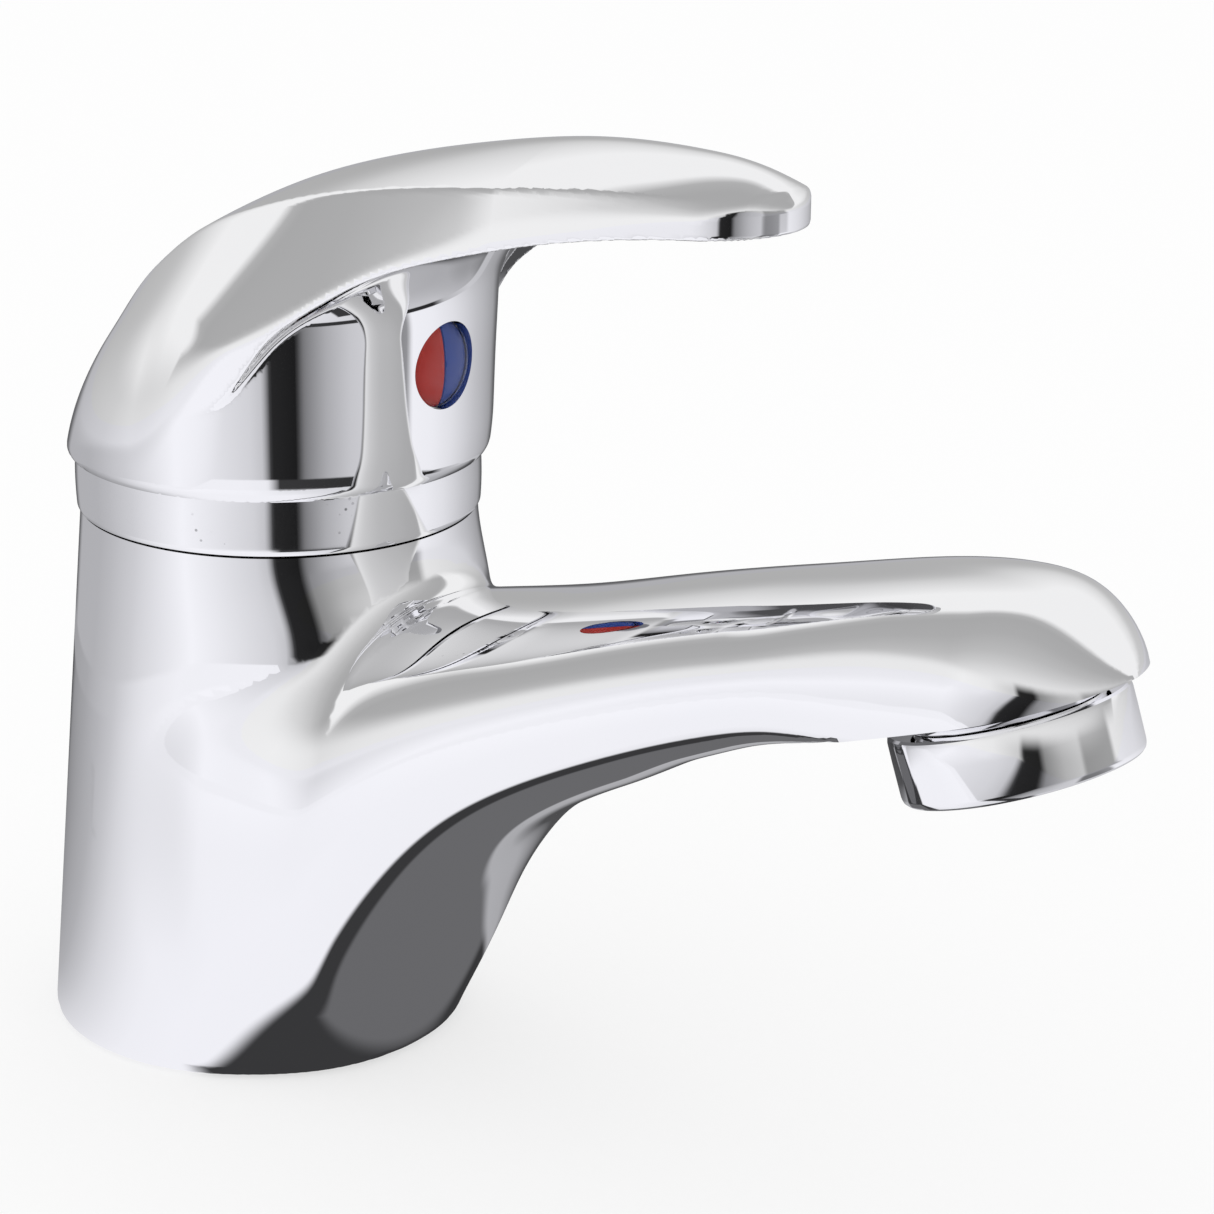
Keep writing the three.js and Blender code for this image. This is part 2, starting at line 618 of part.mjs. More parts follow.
const cartridge = new THREE.Group();
cartridge.position.x = AXIS_X;
mixer.add(cartridge);
add(cartridge, 'cartridge_base', cartridgeBase(), GREY_PLASTIC);
add(cartridge, 'hot_inlet_seal', portSeal(PORTS.hot), RUBBER);
add(cartridge, 'cold_inlet_seal', portSeal(PORTS.cold), RUBBER);
add(cartridge, 'outlet_seal', portSeal(PORTS.outlet), RUBBER);
add(cartridge, 'fixed_ceramic_disc', fixedCeramicDisc(), CERAMIC);
add(cartridge, 'moving_ceramic_disc', movingCeramicDisc(), CERAMIC);
add(cartridge, 'disc_carrier', discCarrier(), WHITE_PLASTIC);
add(cartridge, 'cartridge_housing', cartridgeHousing(), WHITE_PLASTIC);
add(cartridge, 'stem_rotor', stemRotor(), GREY_PLASTIC);
add(cartridge, 'rotor_o_ring', rotorRing(), RUBBER);
add(cartridge, 'temperature_stop_ring', temperatureStopRing(), GREY_PLASTIC);
add(cartridge, 'pivot_pin', acrossPivot(PIN.radius, PIN.length), STEEL);
add(cartridge, 'lever_stem', leverStem(), BRASS);
add(cartridge, 'nut_o_ring', nutRing(), RUBBER);
add(cartridge, 'retaining_nut', retainingNut(), BRASS);
add(cartridge, 'dome_ring', domeRing(), CHROME);
add(cartridge, 'lever_handle', leverHandle(), CHROME);
add(cartridge, 'handle_set_screw', handleSetScrew(), STEEL);
add(cartridge, 'indicator_carrier', indicatorCarrier(), WHITE_PLASTIC);
add(cartridge, 'indicator_red', indicatorHalf(-1), RED);
add(cartridge, 'indicator_blue', indicatorHalf(1), BLUE);
add(cartridge, 'indicator_lens', indicatorLens(), CLEAR);

const aerator = new THREE.Group();
aerator.position.set(AERATOR_X, 0, AERATOR_Z);
aerator.rotation.y = -LIP_TILT;
mixer.add(aerator);
add(aerator, 'aerator_collar', aeratorCollar(), CHROME);
add(aerator, 'aerator_gasket', aeratorGasket(), RUBBER);
add(aerator, 'aerator_screen', drilledDisc(SCREEN, SCREEN_HOLES), STEEL);
add(aerator, 'aerator_insert', drilledDisc(INSERT, INSERT_HOLES), WHITE_PLASTIC);
add(aerator, 'aerator_flow_plate', drilledDisc(FLOW_PLATE, PLATE_HOLES), GREY_PLASTIC);

export default mixer;
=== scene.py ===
import json
import math
import bmesh
import bpy
import numpy as np
from mathutils import Matrix, Vector

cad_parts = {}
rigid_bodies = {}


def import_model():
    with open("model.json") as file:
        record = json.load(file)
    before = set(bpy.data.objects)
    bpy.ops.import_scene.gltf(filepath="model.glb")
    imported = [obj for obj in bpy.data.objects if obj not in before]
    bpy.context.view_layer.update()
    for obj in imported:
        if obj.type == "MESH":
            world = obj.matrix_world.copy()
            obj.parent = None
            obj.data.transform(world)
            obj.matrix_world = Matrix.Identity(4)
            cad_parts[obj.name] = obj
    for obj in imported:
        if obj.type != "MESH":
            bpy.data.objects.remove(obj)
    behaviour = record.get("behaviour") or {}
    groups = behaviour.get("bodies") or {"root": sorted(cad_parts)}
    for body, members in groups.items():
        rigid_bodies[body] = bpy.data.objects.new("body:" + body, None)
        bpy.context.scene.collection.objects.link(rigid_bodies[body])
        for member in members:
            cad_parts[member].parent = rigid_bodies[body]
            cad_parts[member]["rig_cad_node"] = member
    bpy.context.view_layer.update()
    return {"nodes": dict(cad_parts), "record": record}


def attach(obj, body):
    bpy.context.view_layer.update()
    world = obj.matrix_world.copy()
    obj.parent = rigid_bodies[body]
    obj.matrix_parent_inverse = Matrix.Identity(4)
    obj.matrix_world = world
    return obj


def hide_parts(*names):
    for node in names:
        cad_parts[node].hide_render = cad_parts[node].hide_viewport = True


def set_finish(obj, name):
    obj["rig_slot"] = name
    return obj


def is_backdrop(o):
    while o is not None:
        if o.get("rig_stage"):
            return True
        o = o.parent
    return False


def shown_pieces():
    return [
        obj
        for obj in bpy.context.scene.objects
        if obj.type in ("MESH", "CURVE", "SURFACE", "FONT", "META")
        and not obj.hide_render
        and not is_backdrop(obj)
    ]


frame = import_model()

MM = 0.001

# ---- Main dimensions, in millimetres -------------------------------------------
AXIS_X = 5.6
BASE_RADIUS = 25.5
NECK_RADIUS = 24.0
CASTING_TOP = 67.0
PIVOT_Z = 70.8
DOME_RADIUS = 24.5
NOSE_X = 108.5
NOSE_RADIUS = 14.3
LIP_Z = 65.1
LIP_TILT = math.radians(19)
AERATOR_X = 107.4
AERATOR_BORE_RADIUS = 10.9
AERATOR_BORE_DEPTH = 5
UNDERCUT_REACH = 13.6
CARTRIDGE_BORE_RADIUS = 17.8
CARTRIDGE_BORE_FLOOR = 34
NUT_BORE_RADIUS = 19.5
NUT_BORE_FLOOR = 54
SEAL_GROOVE_OUTER = 23
SEAL_GROOVE_INNER = 20.5
SEAL_GROOVE_DEPTH = 2
STUD_HOLES_X = (-14.5, 16)
STUD_HOLE_RADIUS = 3.4
STUD_HOLE_DEPTH = 12
HOSE_POCKET_X = 2
HOSE_POCKET_SIDE = 11
HOSE_POCKET_RADIUS = 7.5
HOSE_POCKET_DEPTH = 14
INLET_X = 4.5
INLET_SIDE = 9
INLET_RADIUS = 4.3
INLET_TOP = 23
SKIRT_RADIUS = 25.8
SKIRT_BOTTOM = 74.1
TIP_S = 64.3
TIP_RADIUS = 9.5
BOSS_RADIUS = 8.6
BOSS_BOTTOM = 81
STEM_SOCKET_HALF = 3.7
STEM_SOCKET_TOP = 93.4
SCREW_HOLE_RADIUS = 2.7
INDICATOR_Z = 88.0
MARK_RADIUS = 5.05
MARK_RECESS_RADIUS = 5.2
MARK_RECESS_FLOOR = 23
RING_WALL = 2.2
RING_BAND = 3.0
RING_TOP = 84.2
SCREEN_WIRE_RADIUS = 0.16
SCREEN_WIRE_PITCH = 0.95
SCREEN_WIRE_REACH = 8.45
SCREEN_LEVEL = -7.03
FLOOR_HALF_SIDE = 3.0
CAMERA_YAW = math.radians(5.598)
CAMERA_PITCH = math.radians(18.764)
CAMERA_ROLL = math.radians(0.618)
CAMERA_DISTANCE = 0.40885
CAMERA_HEIGHT = 0.1917
CAMERA_LENS = 103.79
CAMERA_TURN = math.radians(42)


# ---- Smooth curves and soft joins ----------------------------------------------
def curve_through(points):
    """A natural cubic spline as a function, held level past its ends."""
    x, y = np.array(points, float).T
    h = np.diff(x)
    count = len(x)
    rows = np.eye(count)
    right = np.zeros(count)
    for i in range(1, count - 1):
        rows[i, i - 1:i + 2] = h[i - 1], 2 * (h[i - 1] + h[i]), h[i]
        right[i] = 6 * ((y[i + 1] - y[i]) / h[i] - (y[i] - y[i - 1]) / h[i - 1])
    bend = np.linalg.solve(rows, right)
    fine = np.linspace(x[0], x[-1], int((x[-1] - x[0]) / 0.02) + 2)
    i = np.clip(np.searchsorted(x, fine) - 1, 0, count - 2)
    a = (x[i + 1] - fine) / h[i]
    b = (fine - x[i]) / h[i]
    level = a * y[i] + b * y[i + 1]
    level += ((a ** 3 - a) * bend[i] + (b ** 3 - b) * bend[i + 1]) * h[i] ** 2 / 6
    return lambda value: np.interp(value, fine, level)


def slope_of(curve):
    return lambda value: (curve(value + 0.1) - curve(value - 0.1)) / 0.2


def soft_min(a, b, reach):
    overlap = np.maximum(reach - np.abs(a - b), 0) / reach
    return np.minimum(a, b) - overlap ** 2 * reach / 4


def soft_max(a, b, reach):
    return -soft_min(-a, -b, reach)


def ramp(value, start, end):
    t = np.clip((value - start) / (end - start), 0, 1)
    return t * t * (3 - 2 * t)


# ---- Meshing a solid given by fields ---------------------------------------------
class Solid:
    """The space inside every kept field and outside every cut. A cut is a list of fields."""

    def __init__(self, keep, cuts=()):
        self.cuts = [list(cut) for cut in cuts]
        self.keep = list(keep)
        self.leaves = self.keep + [leaf for cut in self.cuts for leaf in cut]

    def value(self, points):
        level = np.full(len(points), -1e9)
        owner = np.zeros(len(points), int)
        for number, leaf in enumerate(self.keep):
            here = leaf(points)
            owner = np.where(here > level, number, owner)
            level = np.maximum(level, here)
        number = len(self.keep)
        for cut in self.cuts:
            inner = np.full(len(points), -1e9)
            which = np.zeros(len(points), int)
            for leaf in cut:
                here = leaf(points)
                which = np.where(here > inner, number, which)
                inner = np.maximum(inner, here)
                number += 1
            owner = np.where(-inner > level, which, owner)
            level = np.maximum(level, -inner)
        return level, owner

    def gradient(self, points, number):
        leaf = self.leaves[number]
        sign = 1.0 if number < len(self.keep) else -1.0
        steps = []
        for axis in range(3):
            shift = np.zeros(3)
            shift[axis] = 0.05
            steps.append((leaf(points + shift) - leaf(points - shift)) / 0.1)
        return sign * np.stack(steps, -1)

    def gradients(self, points, owner):
        result = np.zeros((len(points), 3))
        for number in np.unique(owner):
            chosen = owner == number
            result[chosen] = self.gradient(points[chosen], number)
        return result

    def pull(self, points, number):
        sign = 1.0 if number < len(self.keep) else -1.0
        level = sign * self.leaves[number](points)
        slope = self.gradient(points, number)
        size = np.maximum((slope ** 2).sum(-1), 1e-6)
        return points - slope * (level / size)[:, None]


def crossings(solid, axes, level, axis):
    """Where the grid's edges along an axis go through the surface."""
    low = [slice(None)] * 3
    high = [slice(None)] * 3
    low[axis] = slice(0, -1)
    high[axis] = slice(1, None)
    first, second = level[tuple(low)], level[tuple(high)]
    cells = np.argwhere((first < 0) != (second < 0))
    near = first[tuple(cells.T)]
    start = np.stack([axes[i][cells[:, i]] for i in range(3)], -1)
    step = axes[axis][1] - axes[axis][0]
    lower, upper = np.zeros(len(cells)), np.ones(len(cells))
    inward = near < 0
    for _ in range(9):
        middle = (lower + upper) / 2
        points = start.copy()
        points[:, axis] += middle * step
        same = (solid.value(points)[0] < 0) == inward
        lower = np.where(same, middle, lower)
        upper = np.where(same, upper, middle)
    points = start.copy()
    points[:, axis] += (lower + upper) / 2 * step
    return cells, points, inward


def grid_cells(cells, axis, shape):
    """The four cells round each edge, anticlockwise seen from the axis's high end."""
    second, third = (axis + 1) % 3, (axis + 2) % 3
    found = []
    for back_second, back_third in ((0, 0), (1, 0), (1, 1), (0, 1)):
        cell = cells.copy()
        cell[:, second] -= back_second
        cell[:, third] -= back_third
        found.append(np.ravel_multi_index(cell.T, shape))
    return np.stack(found, -1)


def meshed(name, solid, low, high, step):
    """A closed quad mesh with crisp edges where fields meet, shaded by the fields themselves."""
    low, high = np.array(low, float), np.array(high, float)
    counts = np.ceil((high - low) / step).astype(int) + 1
    axes = [low[i] + step * np.arange(counts[i]) for i in range(3)]
    level = np.empty(counts)
    for i in range(counts[0]):
        plane = np.stack(np.meshgrid(axes[0][i:i + 1], axes[1], axes[2], indexing="ij"), -1)
        level[i] = solid.value(plane.reshape(-1, 3))[0].reshape(counts[1:])
    quads, owners, spots, normals = [], [], [], []
    for axis in range(3):
        cells, points, inward = crossings(solid, axes, level, axis)
        owner = solid.value(points)[1]
        normal = solid.gradients(points, owner)
        normal /= np.maximum(np.linalg.norm(normal, axis=1), 1e-9)[:, None]
        around = grid_cells(cells, axis, counts)
        quads.append(np.where(inward[:, None], around, around[:, ::-1]))
        owners.append(owner)
        spots.append(points)
        normals.append(normal)
    quads = np.concatenate(quads)
    owners = np.concatenate(owners)
    spots = np.concatenate(spots)
    normals = np.concatenate(normals)
    used, index = np.unique(quads, return_inverse=True)
    index = index.reshape(-1, 4)
    size = len(used)
    flat = index.ravel()

    def summed(values):
        return np.bincount(flat, np.repeat(values, 4), minlength=size)

    share = summed(np.ones(len(quads)))
    centre = np.stack([summed(spots[:, i]) for i in range(3)], -1) / share[:, None]
    matrix = np.zeros((size, 3, 3))
    right = np.zeros((size, 3))
    offset = (normals * spots).sum(-1)
    for i in range(3):
        right[:, i] = summed(normals[:, i] * offset)
        for j in range(3):
            matrix[:, i, j] = summed(normals[:, i] * normals[:, j])
    weight = 0.05 * share
    matrix += weight[:, None, None] * np.eye(3)
    right += weight[:, None] * centre
    corner = np.linalg.solve(matrix, right[..., None])[..., 0]
    cell = np.stack(np.unravel_index(used, counts), -1)
    cell_low = low + step * cell
    corner = np.clip(corner, cell_low - 0.2 * step, cell_low + 1.2 * step)
    for number in range(len(solid.leaves)):
        touched = np.unique(index[owners == number])
        if not len(touched):
            continue
        active = np.zeros(size, bool)
        active[touched] = True
        solid.leaves[number].active = active
    for _ in range(5):
        for number, leaf in enumerate(solid.leaves):
            active = getattr(leaf, "active", None)
            if active is not None:
                corner[active] = solid.pull(corner[active], number)
    corner = np.clip(corner, cell_low - 0.4 * step, cell_low + 1.4 * step)
    for leaf in solid.leaves:
        leaf.active = None
    loops = corner[index].reshape(-1, 3)
    shading = solid.gradients(loops, np.repeat(owners, 4))
    shading /= np.maximum(np.linalg.norm(shading, axis=1), 1e-9)[:, None]
    mesh = bpy.data.meshes.new(name)
    mesh.from_pydata((corner * MM).tolist(), [], index.tolist())
    mesh.polygons.foreach_set("use_smooth", [True] * len(mesh.polygons))
    mesh.update()
    mesh.normals_split_custom_set(shading.tolist())
    piece = bpy.data.objects.new(name, mesh)
    bpy.context.scene.collection.objects.link(piece)
    return piece


# ---- Fields -----------------------------------------------------------------------
def plane(normal, height):
    normal = np.array(normal, float)
    return lambda p: p @ normal - height


def radius_from(x, y, size):
    return lambda p: np.hypot(p[:, 0] - x, p[:, 1] - y) - size


def drilled(x, y, size, low, high):
    """An upright round hole."""
    return [radius_from(x, y, size), plane((0, 0, 1), high), plane((0, 0, -1), -low)]


TILT_AXIS = np.array([-math.sin(LIP_TILT), 0, math.cos(LIP_TILT)])
AERATOR_CENTRE = np.array([AERATOR_X, 0, LIP_Z + (AERATOR_X - NOSE_X) * math.tan(LIP_TILT)])
TILT_SIDE = np.array([math.cos(LIP_TILT), 0, math.sin(LIP_TILT)])

spout_ridge = curve_through([
    (4, 57), (24, 58.5), (36, 60.8), (48, 63.6), (62, 67.7), (76, 71.6), (90, 75.1),
    (100, 77.2), (107, 77.9), (113, 76.9), (118, 73.9), (122.8, 70),
])
spout_belly = curve_through([
    (4, 1.5), (24, 2), (27, 5.5), (30, 11.8), (36, 22.6), (43, 31.5), (52, 38.9), (64, 45.8),
    (78, 53), (88, 57.8), (96, 60.8), (107, 64.6), (124, 70.4),
])
spout_drop = curve_through([
    (4, 0), (50, 0), (60, 0.05), (70, 0.3), (78, 1), (86, 2.5), (92, 4.5), (98, 6.5), (104, 8),
    (110, 9), (124, 9.2),
])
spout_taper = curve_through([
    (4, 22.6), (20, 22.4), (35, 20.4), (50, 18.1), (65, 16.4), (80, 15.2), (95, 14.6),
    (108.5, 14.3), (126, 14.3),
])


def spout_floor(x):
    return spout_belly(x) - spout_drop(x)


def spout_width(x):
    past = np.clip((x - NOSE_X) / NOSE_RADIUS, 0, 0.998)
    return spout_taper(x) * np.sqrt(1 - past ** 2)


def spout_field(p):
    x, y, z = p.T
    x = x + 0.14 * ramp(x, 112, 122)

    def shape(at_x, at_y, at_z):
        top, bottom = spout_ridge(at_x), spout_floor(at_x)
        rise = (at_z - (top + bottom) / 2) / ((top - bottom) / 2)
        power = 2.5 + (0.55 * ramp(at_x, 80, 100) - 0.1) * ramp(rise, -0.2, 0.7)
        out = np.abs(at_y) / spout_width(at_x)
        return (out ** power + np.abs(rise) ** power + 1e-9) ** (1 / power)

    here = shape(x, y, z)
    small = 0.05
    by_x = (shape(x + small, y, z) - here) / small
    by_y = (shape(x, y + small, z) - here) / small
    by_z = (shape(x, y, z + small) - here) / small
    section = (here - 1) / np.sqrt(by_x ** 2 + by_y ** 2 + by_z ** 2 + 1e-5)
    lean = slope_of(spout_belly)(x)
    under = (spout_belly(x) - z) / np.sqrt(1 + lean ** 2) - 4 * (1 - ramp(x, 54, 74) + ramp(x, 95, 97.5))
    return soft_max(section, under, 3 - 2.5 * ramp(x, 80, 96))


def column_field(p):
    x, y, z = p.T
    across = x - AXIS_X * z / CASTING_TOP
    out = np.hypot(across, y)
    size = BASE_RADIUS + (NECK_RADIUS - BASE_RADIUS) * z / CASTING_TOP
    facing = np.clip(across / np.maximum(out, 1), 0, 1)
    flare = 3.4 * ramp(z, 68, 54) * ramp(z, 30, 52) * facing ** 2
    return out - size - flare


def casting_field(p):
    z = p[:, 2]
    reach = 7 - 4 * ramp(z, 40, 58)
    spout = spout_field(p) + 5 * (1 - ramp(p[:, 0], 0, 14))
    joined = soft_min(column_field(p), np.maximum(spout, 2 - p[:, 0]), reach)
    return soft_max(joined, -z, 1.2)


def along_lip(p):
    return (p - AERATOR_CENTRE) @ TILT_AXIS


def from_lip_axis(size):
    def field(p):
        out = p - AERATOR_CENTRE
        return np.hypot(out @ TILT_SIDE, out[:, 1]) - size
    return field


def casting():
    base = plane((0, 0, -1), 0)
    below_lip = [along_lip, lambda p: -((p - AERATOR_CENTRE) @ TILT_SIDE) - UNDERCUT_REACH]
    aerator_bore = [
        from_lip_axis(AERATOR_BORE_RADIUS),
        lambda p: along_lip(p) - AERATOR_BORE_DEPTH,
        lambda p: -along_lip(p) - 6,
    ]
    seal_groove = [
        radius_from(0, 0, SEAL_GROOVE_OUTER),
        lambda p: SEAL_GROOVE_INNER - np.hypot(p[:, 0], p[:, 1]),
        plane((0, 0, 1), SEAL_GROOVE_DEPTH),
    ]
    cuts = [
        drilled(AXIS_X, 0, 30, CASTING_TOP, 90),
        below_lip,
        aerator_bore,
        drilled(AXIS_X, 0, CARTRIDGE_BORE_RADIUS, CARTRIDGE_BORE_FLOOR, 70),
        drilled(AXIS_X, 0, NUT_BORE_RADIUS, NUT_BORE_FLOOR, 70),
        seal_groove,
    ]
    for x in STUD_HOLES_X:
        cuts.append(drilled(x, 0, STUD_HOLE_RADIUS, -1, STUD_HOLE_DEPTH))
    for side in (-1, 1):
        pocket_side = HOSE_POCKET_SIDE * side
        cuts.append(drilled(HOSE_POCKET_X, pocket_side, HOSE_POCKET_RADIUS, -1, HOSE_POCKET_DEPTH))
        cuts.append(drilled(INLET_X, INLET_SIDE * side, INLET_RADIUS, 12, INLET_TOP))
    solid = Solid([casting_field, base], cuts)
    return meshed("casting_surface", solid, (-27.3, -27.4, -1.7), (124.5, 27.8, 79.7), 0.9)


# ---- Lever handle --------------------------------------------------------------------
lever_ridge = curve_through([
    (-26.6, 77), (-25, 80.4), (-23, 82.8), (-20, 86.4), (-10, 96.8), (0, 104.2), (14, 110.2),
    (31, 114.5), (47, 117.1), (60, 117.5), (67, 116.9), (71, 115.6), (74, 113.8),
])
crease_width = curve_through([
    (-26.6, 3), (-22, 5.5), (-18, 8), (-12, 11), (0, 14), (10, 15), (20, 15.2), (40, 14.1),
    (52, 13.4), (60, 12.4), (68, 10), (74, 5),
])
crease_height = curve_through([
    (-26.6, 76.8), (-22, 83), (-18, 87.4), (-12, 93.5), (-6, 98.2), (0, 102.2), (10, 106.6),
    (20, 109.6), (40, 112.9), (52, 113.9), (60, 114.1), (68, 113.8), (74, 113),
])
band_foot = curve_through([
    (-26.6, 76.6), (-19, 79.2), (-12, 82), (0, 86), (10, 91), (20, 96.4), (29.6, 102.2),
    (40.7, 106.5), (48.7, 108.9), (56, 110.7), (62, 111.8), (74, 112.9),
])
edge_height = curve_through([
    (-26.6, 76.6), (-19, 79.2), (-12, 82.4), (0, 84.4), (9, 85.6), (13.4, 88.6), (17.5, 94.2),
    (22.3, 98.4), (29.6, 102.9), (40.7, 106.9), (48.7, 109.1), (56, 110.9), (62, 112), (74, 112.9),
])
rim_depth = curve_through([(-26.6, 1.3), (36, 1.3), (50, 1.6), (60, 2.3), (74, 2.6)])
skirt_side = curve_through([
    (74, 25), (74.5, 25.35), (75.6, 25.65), (77.5, 25.85), (80, 25.98), (86, 26.2), (92, 26.5),
    (97, 27.3), (100.4, 29.2), (103.3, 32.5), (105.3, 38),
])
HULL_SLOPE = (SKIRT_RADIUS - TIP_RADIUS) / TIP_S
HULL_LEAN = math.sqrt(1 - HULL_SLOPE ** 2)


def lever_plan(s, y):
    """Distance outside the two circles and the lines that touch both."""
    y = np.abs(y)
    along = s * HULL_LEAN - y * HULL_SLOPE
    behind = np.hypot(s, y) - SKIRT_RADIUS
    beyond = np.hypot(s - TIP_S, y) - TIP_RADIUS
    beside = y * HULL_LEAN + s * HULL_SLOPE - SKIRT_RADIUS
    return np.where(along < 0, behind, np.where(along > HULL_LEAN * TIP_S, beyond, beside))


def lever_half_width(s):
    """Half the lever's width at a distance along it, at least 12 mm towards the back."""
    side = (SKIRT_RADIUS - s * HULL_SLOPE) / HULL_LEAN
    back = np.sqrt(np.maximum(SKIRT_RADIUS ** 2 - s ** 2, 144))
    return np.where(s < SKIRT_RADIUS * HULL_SLOPE, back, side)


def bulge(out):
    """How far the crown has fallen at a distance from the ridge, before scaling."""
    return (out ** 2 + 6) ** 0.75 - 6 ** 0.75


def lever_top(s, y):
    half = lever_half_width(s)
    crease = np.minimum(crease_width(s), np.maximum(half * 0.92, 4))
    high = crease_height(s)
    rise = lever_ridge(s) - high
    out = np.abs(y)
    crown = high + rise - rise * bulge(out) / bulge(crease)
    bevel = high + (band_foot(s) - high) * (out - crease) / np.maximum(half - crease, 1)
    return soft_min(crown, bevel, 0.6 + 2 * (1 - ramp(s, -22, -8)))


def lever_top_field(p):
    s, y, z = p[:, 0] - AXIS_X, p[:, 1], p[:, 2]
    here = lever_top(s, y)
    by_s = (lever_top(s + 0.1, y) - here) / 0.1
    by_y = (lever_top(s, y + 0.1) - here) / 0.1
    return (z - here) / np.sqrt(1 + by_s ** 2 + by_y ** 2)


def lever_under_field(p):
    s, y, z = p[:, 0] - AXIS_X, p[:, 1], p[:, 2]

    def floor(at_s, at_y):
        middle = 1 - np.minimum((at_y / lever_half_width(at_s)) ** 2, 1)
        hollow = 1.6 * (1 - ramp(at_s, 50, 68)) * middle
        return edge_height(at_s) - rim_depth(at_s) + hollow

    here = floor(s, y)
    by_s = (floor(s + 0.1, y) - here) / 0.1
    by_y = (floor(s, y + 0.1) - here) / 0.1
    blade = (here - z) / np.sqrt(1 + by_s ** 2 + by_y ** 2)
    blade = np.maximum(blade, 7 - s)
    skirt = np.hypot(s, y) - skirt_side(z)
    return soft_min(blade, skirt, 0.8)


def handle_field(p):
    s = p[:, 0] - AXIS_X
    reach = 6 - 5.5 * ramp(s, 0, 14)
    upper = soft_max(lever_top_field(p), lever_plan(s, p[:, 1]), reach)
    return soft_max(upper, lever_under_field(p), 0.4)


def handle():
    def cavity(p):
        out = p - np.array([AXIS_X, 0, PIVOT_Z])
        return np.sqrt((out ** 2).sum(-1)) - DOME_RADIUS - 0.3

    def not_boss(p):
        out = np.hypot(p[:, 0] - AXIS_X, p[:, 1])
        return -np.maximum(out - BOSS_RADIUS, BOSS_BOTTOM - p[:, 2])

    def across(size):
        return lambda p: np.hypot(p[:, 1], p[:, 2] - INDICATOR_Z) - size

    cuts = [
        [cavity, not_boss],
        [
            lambda p: np.abs(p[:, 0] - AXIS_X) - STEM_SOCKET_HALF,
            lambda p: np.abs(p[:, 1]) - STEM_SOCKET_HALF,
            plane((0, 0, 1), STEM_SOCKET_TOP),
        ],
        [
            across(SCREW_HOLE_RADIUS),
            plane((-1, 0, 0), -AXIS_X),
            plane((1, 0, 0), AXIS_X + 30),
        ],
        [
            across(MARK_RECESS_RADIUS),
            plane((-1, 0, 0), -AXIS_X - MARK_RECESS_FLOOR),
            plane((1, 0, 0), AXIS_X + 32),
        ],
    ]
    solid = Solid([handle_field, plane((0, 0, -1), -SKIRT_BOTTOM)], cuts)
    return meshed("handle_surface", solid, (-22.3, -27.2, 72.6), (80.6, 27.3, 119), 0.48)


# ---- Turned pieces -----------------------------------------------------------------
def mesh_piece(name, points, faces, smooth_angle=30):
    mesh = bpy.data.meshes.new(name)
    mesh.from_pydata([tuple(c * MM for c in point) for point in points], [], faces)
    mesh.polygons.foreach_set("use_smooth", [True] * len(mesh.polygons))
    mesh.update()
    mesh.set_sharp_from_angle(angle=math.radians(smooth_angle))
    piece = bpy.data.objects.new(name, mesh)
    bpy.context.scene.collection.objects.link(piece)
    return piece


def turned(name, profile, place, sides=160, smooth_angle=30):
    """A closed profile of (radius, height), clockwise from outside, turned round the axis of a placement."""
    count = len(profile)
    points, faces = [], []
    for i in range(sides):
        turn = 2 * math.pi * i / sides
        for radius, height in profile:
            points.append(place(radius * math.cos(turn), radius * math.sin(turn), height))
    for i in range(sides):
        for j in range(count):
            a, b = i * count, (i + 1) % sides * count
            k = (j + 1) % count
            faces.append((a + j, b + j, b + k, a + k))
    return mesh_piece(name, points, faces, smooth_angle)


def on_cartridge(x, y, z):
    return AXIS_X + x, y, z


def on_aerator(x, y, z):
    spot = AERATOR_CENTRE + x * TILT_SIDE + np.array([0, y, 0]) + z * TILT_AXIS
    return tuple(spot)


def on_indicator(x, y, z):
    return AXIS_X + z, y, INDICATOR_Z - x


def ring_profile():
    outer, inner = [], []
    for i in range(41):
        z = CASTING_TOP + 0.55 + (RING_TOP - CASTING_TOP - 0.55) * i / 40
        rise = z - PIVOT_Z
        round_part = math.sqrt(DOME_RADIUS ** 2 - max(rise, 0) ** 2)
        flat_part = DOME_RADIUS - 0.1 * (rise / RING_BAND) ** 2
        share = float(ramp(rise, RING_BAND, RING_BAND + 3))
        outer.append((flat_part * (1 - share) + round_part * share, z))
        inner.append((math.sqrt((DOME_RADIUS - RING_WALL) ** 2 - rise ** 2 * 0.8), z - 0.2))
    foot = outer[0][0]
    edge = [(foot - 0.3, CASTING_TOP + 0.3), (foot - 0.08, CASTING_TOP + 0.38)]
    return edge + outer + list(reversed(inner))


def dome_ring():
    return turned("ring_surface", ring_profile(), on_cartridge, 200, 40)


def collar():
    """The aerator's collar: a plain band with a fine thread above it."""
    profile = [(8.75, -8.75), (12.6, -8.8), (12.9, -8.72), (13.12, -8.5), (13.22, -8.2)]
    profile += [(13.26, -7.9), (13.28, -4.2), (13.26, -2.0), (13.15, -1.55), (12.85, -1.3)]
    profile += [(10.6, -1.25)]
    for i in range(7):
        profile += [(10.44, -0.9 + 0.55 * i), (10.14, -0.62 + 0.55 * i)]
    profile += [(10.3, 3.1), (9.75, 3.1), (9.75, -7.6), (8.75, -7.7)]
    return turned("collar_surface", profile, on_aerator, 180, 25)


